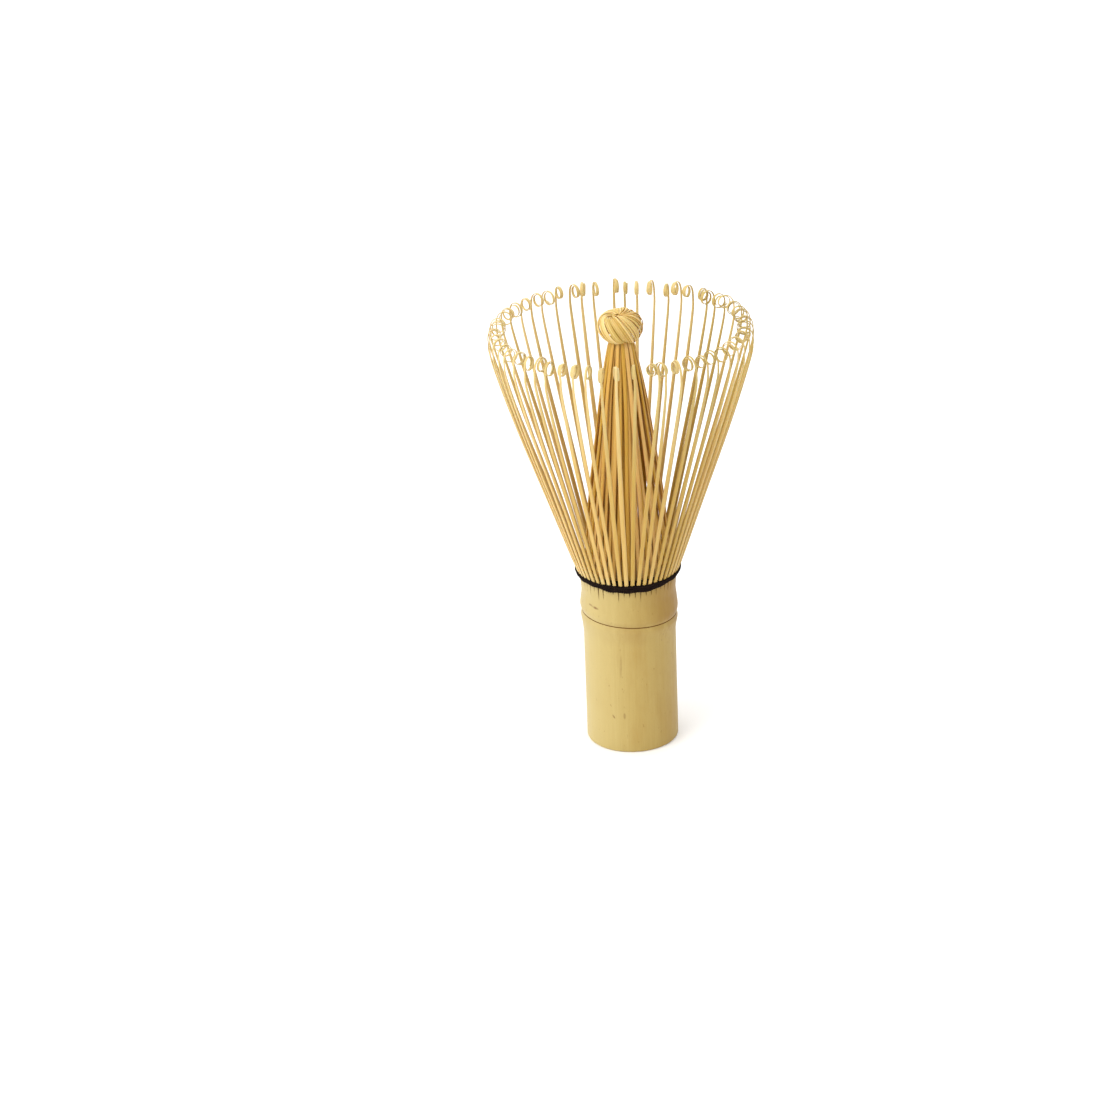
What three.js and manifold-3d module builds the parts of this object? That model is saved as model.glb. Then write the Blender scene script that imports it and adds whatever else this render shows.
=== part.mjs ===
// Bamboo tea whisk: one bamboo culm, hollow below its node and split above it into an outer
// crown of curled tines and an inner bundle whose tips are folded over into a knob. A black
// thread wound round the root of the splits holds the two rows apart.
//
// Millimetres, +Z up. The origin is the centre of the handle's cut end, on which it stands.

import * as THREE from 'three';
import * as BufferGeometryUtils from 'three/addons/utils/BufferGeometryUtils.js';
import Module from 'manifold-3d';

const wasm = await Module();
wasm.setup();

// Overall size
const OVERALL_HEIGHT = 104.4;
const CROWN_RADIUS = 29.5;

// Handle: the culm from its cut end up to the groove of the node
const CULM_RADIUS = 10.55;
const BORE_RADIUS = 8.2;
const END_CHAMFER = 0.5;
const FLARE_START = 27;
const LIP_HEIGHT = 30.6;
const LIP_RADIUS = 11.05;
const GROOVE_HEIGHT = 32;
const GROOVE_RADIUS = 10.82;

// Node: the swollen ring above the groove, and the septum that closes the culm inside it. The ring
// is not square to the culm: its groove climbs by NODE_TILT mm for each mm towards -X.
const NODE_TILT = 0.055;
const BULGE_HEIGHT = 33.4;
const BULGE_RADIUS = 11.15;
const WAIST_HEIGHT = 36.9;
const WAIST_RADIUS = 10.76;
const COLLAR_HEIGHT = 38;
const COLLAR_RADIUS = 10.8;
const SEPTUM_HEIGHT = 31.8;
const SEPTUM_THICKNESS = 1.6;
const SEPTUM_DISH = 0.9;

// Splits: prongs round the culm, each cut into outer and inner tines
const PRONGS = 18;
const TINES_PER_PRONG = 3;
const TINES_PER_ROW = PRONGS * TINES_PER_PRONG;
const TINE_PITCH = (2 * Math.PI) / TINES_PER_ROW;
const FIRST_TINE_ANGLE = THREE.MathUtils.degToRad(-92.3);
const ROOT_TOP = 40;
const TINE_START = 39.2;
const SPLIT_GAP = 0.3;

// Outer row
const OUTER_ROOT_INNER_RADIUS = 10.15;
const OUTER_TINE_WIDTH = 0.88;
const OUTER_TINE_THICKNESS = [0.55, 0.15];
const CURL_RADIUS = 1.6;
const CURL_END_RADIUS = 1.1;
const CURL_HEIGHT = 100.4;
const CURL_CENTRE_RADIUS = CROWN_RADIUS - 0.2 - CURL_RADIUS;
const CURL_SWEEP = THREE.MathUtils.degToRad(330);
const STRAYED_TINES = { 2: 3.5, 21: -1, 22: -0.9, 23: -1.7, 24: -1, 25: -1, 28: -1.2, 29: 1 };
const OUTER_SHAFT_STEPS = 6;
const OUTER_CURL_STEPS = 5;

// Inner row
const INNER_ROOT_RADIUS = 9.82;
const INNER_ROOT_INNER_RADIUS = 8.3;
const INNER_TINE_WIDTH = [0.6, 0.34];
const INNER_TINE_THICKNESS = [0.5, 0.35];
const INNER_TINE_STEPS = 5;
const GATHER_START = 0.5;
const GATHERED_SPACING = 0.5;

// Knob: the folded tips of the inner row
const KNOB_RADIUS = 5.05;
const KNOB_MIDDLE_HEIGHT = 101.2;
const KNOB_BOTTOM = 97.9;
const KNOB_STRAND_THICKNESS = 0.5;
const KNOB_TWIST = THREE.MathUtils.degToRad(105);
const KNOB_STRAND_STEPS = 9;
const KNOB_STRAND_FILL = 0.55;
const FOLD_START = 0.4;
const STRAND_PITCH = (2 * Math.PI) / PRONGS;

// Thread
const THREAD_RADIUS = 0.28;
const THREAD_LOWER = { radius: 11.36, height: 41.9 };
const THREAD_UPPER = { radius: 11.72, height: 42.48 };
const THREAD_INNER = { radius: 10.55, height: 43.4 };
const KNOT_RADIUS = 0.55;
const KNOT_LENGTH = 1.5;
const KNOT_HEIGHT = 44.4;
const KNOT_ANGLE = THREE.MathUtils.degToRad(65);

const ROUND_SEGMENTS = 36;
const THREAD_SIDES = 5;

const bamboo = (color, roughness) => new THREE.MeshStandardMaterial({ color, roughness, metalness: 0 });
const culmMaterial = bamboo(0xd9c384, 0.5);
const septumMaterial = bamboo(0xc9a566, 0.8);
const outerTineMaterial = bamboo(0xe5c88a, 0.55);
const innerTineMaterial = bamboo(0xd9a95c, 0.6);
const threadMaterial = new THREE.MeshStandardMaterial({ color: 0x1e1512, roughness: 0.85, metalness: 0 });

const point = (radius, height) => new THREE.Vector2(radius, height);

/**
 * How far, in radians, a tine's tip leans round the crown from its even place: a slow twist of the
 * whole crown, an unevenness from tine to tine, and the few tines that have strayed.
 */
function tineLean(index) {
  const twist = 1 + 1.4 * Math.sin(0.2 * index - 1.25) + 0.9 * Math.sin(0.3 * index + 0.8);
  const unevenness = 0.6 * Math.sin(1.8 * index - 1.2);
  return THREE.MathUtils.degToRad(twist + unevenness + (STRAYED_TINES[index] ?? 0));
}

/** A named mesh of one geometry. */
function piece(name, geometry, material) {
  const mesh = new THREE.Mesh(geometry, material);
  mesh.name = name;
  return mesh;
}

/** The solid of a closed geometry, with its shared vertices merged. */
function solidOf(geometry) {
  const bare = geometry.clone();
  bare.deleteAttribute('normal');
  bare.deleteAttribute('uv');
  const merged = BufferGeometryUtils.mergeVertices(bare);
  return new wasm.Manifold(new wasm.Mesh({
    numProp: 3,
    vertProperties: new Float32Array(merged.attributes.position.array),
    triVerts: new Uint32Array(merged.index.array),
  }));
}

/** One geometry that joins overlapping closed geometries into a single body. */
function joined(geometries) {
  const solid = geometries.map(solidOf).reduce((sum, next) => sum.add(next));
  const { vertProperties, triVerts } = solid.getMesh();
  const geometry = new THREE.BufferGeometry();
  geometry.setAttribute('position', new THREE.BufferAttribute(new Float32Array(vertProperties), 3));
  geometry.setIndex(new THREE.BufferAttribute(new Uint32Array(triVerts), 1));
  geometry.computeVertexNormals();
  return geometry;
}

/** A ring or shell turned about the Z axis from a closed outline of (radius, height) points. */
function turned(outline, segments = ROUND_SEGMENTS) {
  const closed = [...outline, outline[0]];
  const geometry = new THREE.LatheGeometry(closed, segments);
  geometry.rotateX(Math.PI / 2);
  return geometry;
}

/**
 * A strip of split bamboo, made by bending a box. profile(t) is its centre line as (radius, height),
 * angle(t) its place round the whisk, width(t) and thickness(t) its section, for t from 0 to 1.
 */
function strip({ profile, angle, width, thickness, steps }) {
  const geometry = new THREE.BoxGeometry(1, 1, 1, 1, 1, steps);
  const position = geometry.attributes.position;
  const nudge = 0.25 / steps;
  const place = (t) => {
    const { x: radius, y: height } = profile(t);
    return new THREE.Vector3(radius * Math.cos(angle(t)), radius * Math.sin(angle(t)), height);
  };
  for (let i = 0; i < position.count; i += 1) {
    const t = position.getZ(i) + 0.5;
    const before = Math.max(0, t - nudge);
    const after = Math.min(1, t + nudge);
    const slope = profile(after).sub(profile(before)).normalize();
    const facing = new THREE.Vector3(
      slope.y * Math.cos(angle(t)),
      slope.y * Math.sin(angle(t)),
      -slope.x,
    );
    const along = place(after).sub(place(before)).normalize();
    const side = facing.clone().cross(along).normalize();
    facing.crossVectors(along, side);
    const corner = place(t)
      .addScaledVector(side, position.getX(i) * width(t))
      .addScaledVector(facing, position.getY(i) * thickness(t));
    position.setXYZ(i, corner.x, corner.y, corner.z);
  }
  return geometry;
}

/** Tilts the node: points near its groove slide along Z in proportion to their X. */
function tilted(geometry) {
  const position = geometry.attributes.position;
  for (let i = 0; i < position.count; i += 1) {
    const height = position.getZ(i);
    const below = THREE.MathUtils.smoothstep(height, FLARE_START, GROOVE_HEIGHT);
    const above = 1 - THREE.MathUtils.smoothstep(height, GROOVE_HEIGHT, COLLAR_HEIGHT);
    position.setZ(i, height - NODE_TILT * position.getX(i) * Math.min(below, above));
  }
  return geometry;
}

/** The arc of culm wall at the root of one prong, which its tines grow from. */
function prongRoot(prong, innerRadius, outerRadius) {
  const first = FIRST_TINE_ANGLE + (prong * TINES_PER_PRONG - 0.5) * TINE_PITCH;
  const from = first + SPLIT_GAP / 2 / outerRadius;
  const to = first + TINES_PER_PRONG * TINE_PITCH - SPLIT_GAP / 2 / outerRadius;
  const outline = new THREE.Shape();
  outline.absarc(0, 0, outerRadius, from, to, false);
  outline.absarc(0, 0, innerRadius, to, from, true);
  const geometry = new THREE.ExtrudeGeometry(outline, {
    depth: ROOT_TOP - COLLAR_HEIGHT,
    bevelEnabled: false,
    curveSegments: 3,
  });
  geometry.translate(0, 0, COLLAR_HEIGHT);
  return geometry;
}

function handleCulm() {
  return piece('handle_culm', tilted(turned([
    point(BORE_RADIUS, 0),
    point(CULM_RADIUS - END_CHAMFER, 0),
    point(CULM_RADIUS, END_CHAMFER),
    point(CULM_RADIUS, FLARE_START),
    point(THREE.MathUtils.lerp(CULM_RADIUS, LIP_RADIUS, 0.4), (FLARE_START + LIP_HEIGHT) / 2),
    point(LIP_RADIUS, LIP_HEIGHT),
    point(GROOVE_RADIUS, GROOVE_HEIGHT),
    point(BORE_RADIUS, GROOVE_HEIGHT),
  ])), culmMaterial);
}

function nodeCollar() {
  return piece('node_collar', tilted(turned([
    point(BORE_RADIUS, GROOVE_HEIGHT),
    point(GROOVE_RADIUS, GROOVE_HEIGHT),
    point(BULGE_RADIUS, BULGE_HEIGHT),
    point(WAIST_RADIUS, WAIST_HEIGHT),
    point(COLLAR_RADIUS, COLLAR_HEIGHT),
    point(BORE_RADIUS, COLLAR_HEIGHT),
  ])), culmMaterial);
}

/** The dished wall that closes the culm at its node. */
function nodeSeptum() {
  const bottom = SEPTUM_HEIGHT - SEPTUM_THICKNESS / 2;
  const top = SEPTUM_HEIGHT + SEPTUM_THICKNESS / 2;
  const outline = [
    point(0, bottom - SEPTUM_DISH),
    point(BORE_RADIUS * 0.6, bottom - SEPTUM_DISH * 0.6),
    point(BORE_RADIUS, bottom),
    point(BORE_RADIUS, top),
    point(BORE_RADIUS * 0.6, top - SEPTUM_DISH * 0.6),
    point(0, top - SEPTUM_DISH),
  ];
  const geometry = new THREE.LatheGeometry(outline, ROUND_SEGMENTS);
  geometry.rotateX(Math.PI / 2);
  return piece('node_septum', geometry, septumMaterial);
}

/** Centre line of an outer tine: out from under the thread, up the flare, then round the inward curl. */
const outerShaft = new THREE.SplineCurve([
  point(10.55, TINE_START),
  point(10.72, 42),
  point(11.85, 43.8),
  point(17.15, 59.3),
  point(24.3, 80),
  point(29.05, 95.5),
  point(CURL_CENTRE_RADIUS + CURL_RADIUS, CURL_HEIGHT),
]);

function outerTineProfile(t) {
  const shaftEnd = OUTER_SHAFT_STEPS / (OUTER_SHAFT_STEPS + OUTER_CURL_STEPS);
  if (t <= shaftEnd) {
    return outerShaft.getPoint(t / shaftEnd);
  }
  const turn = (t - shaftEnd) / (1 - shaftEnd);
  const radius = THREE.MathUtils.lerp(CURL_RADIUS, CURL_END_RADIUS, turn);
  return point(
    CURL_CENTRE_RADIUS + radius * Math.cos(turn * CURL_SWEEP),
    CURL_HEIGHT + radius * Math.sin(turn * CURL_SWEEP),
  );
}

function outerTine(index) {
  const [rootThickness, tipThickness] = OUTER_TINE_THICKNESS;
  const bound = THREAD_UPPER.height;
  const rise = (t) => (outerTineProfile(t).y - bound) / (CURL_HEIGHT - bound);
  return strip({
    profile: outerTineProfile,
    angle: (t) => (
      FIRST_TINE_ANGLE + index * TINE_PITCH + tineLean(index) * THREE.MathUtils.clamp(rise(t), 0, 1)
    ),
    width: () => OUTER_TINE_WIDTH,
    thickness: (t) => THREE.MathUtils.lerp(rootThickness, tipThickness, Math.min(1, 2 * t)),
    steps: OUTER_SHAFT_STEPS + OUTER_CURL_STEPS,
  });
}

function outerTines(prong) {
  const parts = [prongRoot(prong, OUTER_ROOT_INNER_RADIUS, COLLAR_RADIUS)];
  for (let tine = 0; tine < TINES_PER_PRONG; tine += 1) {
    parts.push(outerTine(prong * TINES_PER_PRONG + tine));
  }
  const name = `outer_tines_${String(prong + 1).padStart(2, '0')}`;
  return piece(name, joined(parts), outerTineMaterial);
}

/** Centre line of an inner tine, drawn in towards the axis under the knob. */
const innerShaft = new THREE.SplineCurve([
  point(9.5, TINE_START),
  point(9.6, 44),
  point(8.55, 59),
  point(6.65, 73.5),
  point(4.85, 86),
  point(2.9, 96.4),
]);

/** Centre line of the strand that one prong's inner tines fold into: up, over the top, and down outside. */
const knobStrand = new THREE.SplineCurve([
  point(3.2, 94.6),
  point(2.2, 98.8),
  point(1.45, 102),
  point(1.95, 103.6),
  point(3.1, OVERALL_HEIGHT - KNOB_STRAND_THICKNESS / 2),
  point(4.3, 103.2),
  point(KNOB_RADIUS - KNOB_STRAND_THICKNESS / 2, KNOB_MIDDLE_HEIGHT),
  point(4.4, 99.1),
  point(3.55, KNOB_BOTTOM + KNOB_STRAND_THICKNESS / 2),
]);

function innerTine(prong, tine) {
  const middle = FIRST_TINE_ANGLE + (prong * TINES_PER_PRONG + 1) * TINE_PITCH;
  const [rootWidth, tipWidth] = INNER_TINE_WIDTH;
  const [rootThickness, tipThickness] = INNER_TINE_THICKNESS;
  const spacing = (t) => {
    const gather = THREE.MathUtils.smoothstep(t, GATHER_START, 1);
    return TINE_PITCH * THREE.MathUtils.lerp(1, GATHERED_SPACING, gather);
  };
  return strip({
    profile: (t) => innerShaft.getPoint(t),
    angle: (t) => middle + (tine - 1) * spacing(t),
    width: (t) => THREE.MathUtils.lerp(rootWidth, tipWidth, t),
    thickness: (t) => THREE.MathUtils.lerp(rootThickness, tipThickness, t),
    steps: INNER_TINE_STEPS,
  });
}

function foldedStrand(prong) {
  const middle = FIRST_TINE_ANGLE + (prong * TINES_PER_PRONG + 1) * TINE_PITCH;
  const turnOf = (t) => Math.max(0, t - FOLD_START) / (1 - FOLD_START);
  return strip({
    profile: (t) => knobStrand.getPoint(t),
    angle: (t) => middle + KNOB_TWIST * turnOf(t),
    width: (t) => KNOB_STRAND_FILL * knobStrand.getPoint(t).x * STRAND_PITCH,
    thickness: () => KNOB_STRAND_THICKNESS,
    steps: KNOB_STRAND_STEPS,
  });
}

function innerTines(prong) {
  const parts = [prongRoot(prong, INNER_ROOT_INNER_RADIUS, INNER_ROOT_RADIUS), foldedStrand(prong)];
  for (let tine = 0; tine < TINES_PER_PRONG; tine += 1) {
    parts.push(innerTine(prong, tine));
  }
  const name = `inner_tines_${String(prong + 1).padStart(2, '0')}`;
  return piece(name, joined(parts), innerTineMaterial);
}

/** One round of thread: a ring of circular section. */
function threadRound(name, { radius, height }) {
  const section = [];
  for (let side = 0; side < THREAD_SIDES; side += 1) {
    const angle = (2 * Math.PI * side) / THREAD_SIDES;
    section.push(point(radius + THREAD_RADIUS * Math.cos(angle), height + THREAD_RADIUS * Math.sin(angle)));
  }
  return piece(name, turned(section), threadMaterial);
}

function threadKnot() {
  const geometry = new THREE.SphereGeometry(KNOT_RADIUS, 8, 6);
  geometry.scale(1, KNOT_LENGTH / 2 / KNOT_RADIUS, 1);
  const mesh = piece('thread_knot', geometry, threadMaterial);
  mesh.position.set(
    THREAD_INNER.radius * Math.cos(KNOT_ANGLE),
    THREAD_INNER.radius * Math.sin(KNOT_ANGLE),
    KNOT_HEIGHT,
  );
  mesh.rotation.z = KNOT_ANGLE;
  return mesh;
}

const whisk = new THREE.Group();
whisk.add(handleCulm(), nodeCollar(), nodeSeptum());
for (let prong = 0; prong < PRONGS; prong += 1) {
  whisk.add(outerTines(prong), innerTines(prong));
}
whisk.add(
  threadRound('thread_round_lower', THREAD_LOWER),
  threadRound('thread_round_upper', THREAD_UPPER),
  threadRound('thread_round_inner', THREAD_INNER),
  threadKnot(),
);

export default whisk;
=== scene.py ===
"""Bamboo tea whisk: the looks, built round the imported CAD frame.

One bamboo culm is hollow below its node and split above it into an outer crown of curled tines
and an inner bundle whose tips fold over into a knob. A dark plied thread binds the splits.
"""
import math
import random
from collections import namedtuple

import bpy
from mathutils import Matrix, Vector


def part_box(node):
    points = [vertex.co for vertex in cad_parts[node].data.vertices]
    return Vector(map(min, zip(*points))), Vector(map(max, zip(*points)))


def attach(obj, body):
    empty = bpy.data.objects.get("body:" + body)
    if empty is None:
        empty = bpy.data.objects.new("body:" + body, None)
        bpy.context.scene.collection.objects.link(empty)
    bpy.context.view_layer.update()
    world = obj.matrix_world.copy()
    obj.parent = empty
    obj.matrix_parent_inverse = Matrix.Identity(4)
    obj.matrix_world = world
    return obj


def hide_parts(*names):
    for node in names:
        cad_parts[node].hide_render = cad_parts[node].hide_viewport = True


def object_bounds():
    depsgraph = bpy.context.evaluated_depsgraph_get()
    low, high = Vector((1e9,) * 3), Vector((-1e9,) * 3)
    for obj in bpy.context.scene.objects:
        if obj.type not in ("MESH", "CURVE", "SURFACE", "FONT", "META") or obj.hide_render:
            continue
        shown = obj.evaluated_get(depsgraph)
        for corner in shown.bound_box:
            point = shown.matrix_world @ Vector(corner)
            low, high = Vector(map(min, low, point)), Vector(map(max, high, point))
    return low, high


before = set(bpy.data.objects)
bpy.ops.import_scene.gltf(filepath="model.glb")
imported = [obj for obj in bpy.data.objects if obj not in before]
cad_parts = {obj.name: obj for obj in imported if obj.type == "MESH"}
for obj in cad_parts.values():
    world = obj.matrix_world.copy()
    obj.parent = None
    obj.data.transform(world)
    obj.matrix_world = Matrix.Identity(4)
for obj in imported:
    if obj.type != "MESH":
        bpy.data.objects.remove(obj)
cad_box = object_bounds()

MM = 0.001

# -------- sizes read from the frame, in mm

X, Z = 0, 2
PRONGS = 18


def high(node, axis):
    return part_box(node)[1][axis] / MM


def low(node, axis):
    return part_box(node)[0][axis] / MM


# The groove's plane is tilted, so it runs from the collar's lowest point to the handle's highest.
GROOVE_HEIGHT = (high("handle_culm", Z) + low("node_collar", Z)) / 2
LIP_RADIUS = high("handle_culm", X)
BULGE_RADIUS = high("node_collar", X)
COLLAR_TOP = high("node_collar", Z)
SEPTUM_RADIUS = high("node_septum", X)
SEPTUM_TOP = high("node_septum", Z)
SEPTUM_BOTTOM = low("node_septum", Z)
THREAD_RADIUS = (high("thread_round_lower", Z) - low("thread_round_lower", Z)) / 2
LOWER_ROUND_HEIGHT = high("thread_round_lower", Z) - THREAD_RADIUS
LOWER_ROUND_RADIUS = high("thread_round_lower", X) - THREAD_RADIUS
UPPER_ROUND_HEIGHT = high("thread_round_upper", Z) - THREAD_RADIUS
UPPER_ROUND_RADIUS = high("thread_round_upper", X) - THREAD_RADIUS
INNER_ROUND_HEIGHT = high("thread_round_inner", Z) - THREAD_RADIUS
INNER_ROUND_RADIUS = high("thread_round_inner", X) - THREAD_RADIUS
KNOT_MIDDLE = (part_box("thread_knot")[0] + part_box("thread_knot")[1]) / 2 / MM
CROWN_TOP = max(high(f"outer_tines_{n + 1:02d}", Z) for n in range(PRONGS))
KNOB_TOP = cad_box[1][Z] / MM
KNOB_RADIUS = 5.05

# -------- the culm, in mm

CULM_RADIUS = LIP_RADIUS - 0.5
BORE_RADIUS = SEPTUM_RADIUS
END_ROUNDING = 0.45
BORE_ROUNDING = 0.25
FLARE_START = 27.0
LIP_HEIGHT = GROOVE_HEIGHT - 1.4
GROOVE_RADIUS = LIP_RADIUS - 0.28
BULGE_HEIGHT = GROOVE_HEIGHT + 1.4
WAIST_HEIGHT = GROOVE_HEIGHT + 5.1
WAIST_RADIUS = BULGE_RADIUS - 0.39
SPLIT_TOP = LOWER_ROUND_HEIGHT - 0.15
SPLIT_TOP_RADIUS = LOWER_ROUND_RADIUS - THREAD_RADIUS - 0.09
SPLIT_DEPTH = 0.6
SPLIT_HALF_WIDTH = 0.19
RIM_TOP = COLLAR_TOP + 2.0
RIM_RADIUS = 9.95
SEPTUM_DISH = 0.9
NODE_TILT = (high("handle_culm", Z) - low("node_collar", Z)) / (2 * GROOVE_RADIUS)

# Streaks on the front of the culm: x, z, length, width (mm), tilt from upright (degrees), strength.
BLEMISHES = [
    (-7.7, 35.8, 1.5, 0.7, -86, 0.75),
    (-8.7, 36.0, 0.9, 0.6, -80, 0.65),
    (-1.8, 9.4, 1.7, 0.6, 0, 0.75),
    (-4.3, 9.0, 1.3, 0.45, -32, 0.65),
    (-2.3, 22.0, 6.0, 0.6, 2, 0.2),
]

# -------- the tines

TINES_PER_PRONG = 3
TINES = PRONGS * TINES_PER_PRONG
TINE_PITCH = 2 * math.pi / TINES
FRONT_ANGLE = math.radians(-90)
FIRST_TINE_ANGLE = math.radians(-92.3)
TINE_START = COLLAR_TOP + 1.2

# The tines that stray beyond the rule, by number: degrees of lean (as in the CAD) and of a curl's turn.
STRAYED_TINES = {2: 3.5, 21: -1, 22: -0.9, 23: -1.7, 24: -1, 25: -1, 28: -1.2, 29: 1}
STRAYED_YAWS = {2: 30, 3: 22}

# An outer tine's middle line as (radius, height) in mm, up to its curl. Its widths and thicknesses
# are spaced evenly along it, and the curl's widths along the curl.
CURL_RADIUS = 1.64
CURL_END_RADIUS = 1.1
CURL_END_THICKNESS = 0.12
CURL_RISE = 3.35
CURL_EASE = 0.25
CURL_LENGTH = 15.0
LEAN_TOP = CROWN_TOP - 1.6
OUTER_SHAFT = [
    (10.2, TINE_START),
    (10.68, UPPER_ROUND_HEIGHT - 0.48),
    (11.85, UPPER_ROUND_HEIGHT + 1.32),
    (17.15, 59.3),
    (24.3, 80.0),
    (28.75, 94.5),
    (29.3, CROWN_TOP - CURL_RISE),
]
OUTER_WIDTHS = [0.95, 0.98, 0.9, 1.02, 0.9, 0.63, 0.52]
OUTER_THICKNESSES = [0.55, 0.55, 0.58, 0.62, 0.54, 0.36, 0.19]
CURL_WIDTHS = [0.56, 0.5, 0.62, 0.88, 0.75, 0.6, 0.6, 0.35]

# An outer tine is pale in a short foot above the thread, fading towards the shaded right side as painted
# light, and again where it was shaved thin.
FOOT_LENGTH = 6
FOOT_PALENESS = 0.6
SHAVED = (68, 95)
SHAFT_PALENESS = 0.75

# An inner tine's middle line: the shaft up the bundle, then in through the knob and down outside it.
INNER_SHAFT = [
    (9.5, TINE_START - 0.6),
    (9.6, INNER_ROUND_HEIGHT + 0.6),
    (8.6, 59.0),
    (6.7, 73.5),
    (4.95, 86.0),
    (3.0, 96.2),
]
KNOB_PATH = [
    (2.1, KNOB_TOP - 5.4),
    (1.2, KNOB_TOP - 2.8),
    (0.6, KNOB_TOP - 1.2),
    (1.0, KNOB_TOP - 0.55),
    (2.0, KNOB_TOP - 0.26),
    (3.15, KNOB_TOP - 0.3),
    (4.3, KNOB_TOP - 1.3),
    (KNOB_RADIUS - 0.2, KNOB_TOP - 3.2),
    (4.5, KNOB_TOP - 5.2),
    (3.65, KNOB_TOP - 6.35),
    (3.0, KNOB_TOP - 6.1),
]
SHAFT_THICKNESS = 0.42
SHAFT_END_THICKNESS = 0.26
STRAND_THICKNESS = 0.17

# The inner tines lie in layers a step apart, which part over a range of heights. They sag and drift
# a little over other ranges.
INNER_LAYERS = 3
LAYER_STEP = 0.48
LAYERS_PART = (46, 66)
SAG_GROWS = (46, 60)
SAG_FADES = (80, 94)
DRIFT_GROWS = (44, 92)

# The knob, where ranges are shares of a strand's path: the neck it narrows in, where it folds and
# where it widens again. Widths are shares of its tine's width.
NECK = (0.0, 0.2)
NECK_WIDTH = 0.34
FOLD_START = 0.3
FOLD_END = FOLD_START + 0.06
KNOB_WIDENS = (0.36, 0.62)
KNOB_WIDTH = 0.24
KNOB_LAYER_STEP = 0.17
KNOB_TWIST = math.radians(112)
KNOB_SLUMP = 0.4
SHINGLE = math.radians(12)
DIMPLE_SHIFT = Vector((-0.7, -0.3, 0))

# A tine's section, as (across, outwards) shares of its width and thickness, then its rim: the outer
# face is the culm's skin with eased edges, and the shaved inner face is narrower.
TINE_SECTION = [
    (-0.5, 0.26, 1.0), (-0.43, 0.46, 0.4), (-0.2, 0.52, 0.0), (0.2, 0.52, 0.0), (0.43, 0.46, 0.4),
    (0.5, 0.26, 1.0), (0.34, -0.36, 1.0), (0.24, -0.5, 0.7), (0.0, -0.52, 0.2), (-0.24, -0.5, 0.7),
    (-0.34, -0.36, 1.0),
]
STRAND_SECTION = [
    (-0.5, 0.1, 1.0), (-0.44, 0.36, 0.6), (-0.24, 0.5, 0.0), (0.24, 0.5, 0.0), (0.44, 0.36, 0.6),
    (0.5, 0.1, 1.0), (0.36, -0.42, 1.0), (0.0, -0.5, 0.5), (-0.36, -0.42, 1.0),
]

# -------- the thread, in mm

# A yarn's twist is the length of one turn of its plies.
YARN_RADIUS, YARN_TWIST = 0.42, 1.6
WEAVE_YARN_RADIUS, WEAVE_YARN_TWIST = 0.31, 1.3
INNER_YARN_RADIUS, INNER_YARN_TWIST = 0.32, 1.5
KNOT_YARN_RADIUS, KNOT_YARN_TWIST = 0.14, 1.0
YARN_STEPS = TINES * 14
YARN_SIDES = 7
PLY_SHARE = 0.56
TOP_ROUND_HEIGHT = UPPER_ROUND_HEIGHT + 0.2
WEAVE_REACH = 0.45
WEAVE_LIFTS = (0.55, 0.95)

# -------- the view, in mm

CAMERA_DISTANCE = 640.8
CAMERA_HEIGHT = 340.8
CAMERA_PITCH = math.radians(24.61)
CAMERA_YAW = math.radians(-1.574)
CAMERA_ROLL = math.radians(2.402)
FOCAL_LENGTH_IN_FRAME_WIDTHS = 31 / 11
SENSOR_WIDTH = 36.0
LIGHTS_AIM = Vector((0, 0, 60)) * MM
FLOOR_REACH = 6000

# Strengths of the white room's left and right walls and its ceiling, and watts of the two lamps.
WORLD_LEFT = 1.35
WORLD_RIGHT = 0.58
WORLD_CEILING = 1.3
KEY_POWER = 4.0
BACK_POWER = 1.5


# ======== helpers


def polar(radius, angle, height):
    """A point in metres from a radius and a height in mm."""
    return Vector((radius * math.cos(angle), radius * math.sin(angle), height)) * MM


def smooth(value, start, end):
    """0 below start, 1 above end, with an eased rise between."""
    t = min(1.0, max(0.0, (value - start) / (end - start)))
    return t * t * (3 - 2 * t)


def mix(a, b, t):
    return a + (b - a) * t


def spline(values, t):
    """A smooth curve through evenly spaced values (numbers or tuples), for t from 0 to 1."""
    place = min(max(t, 0.0), 1.0) * (len(values) - 1)
    index = min(int(place), len(values) - 2)
    f = place - index

    def at(i):
        value = values[min(max(i, 0), len(values) - 1)]
        return value if isinstance(value, tuple) else (value,)

    p0, p1, p2, p3 = at(index - 1), at(index), at(index + 1), at(index + 2)
    result = tuple(
        0.5 * (2 * b + (c - a) * f + (2 * a - 5 * b + 4 * c - d) * f * f + (3 * b - a - 3 * c + d) * f ** 3)
        for a, b, c, d in zip(p0, p1, p2, p3)
    )
    return result if isinstance(values[0], tuple) else result[0]


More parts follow.
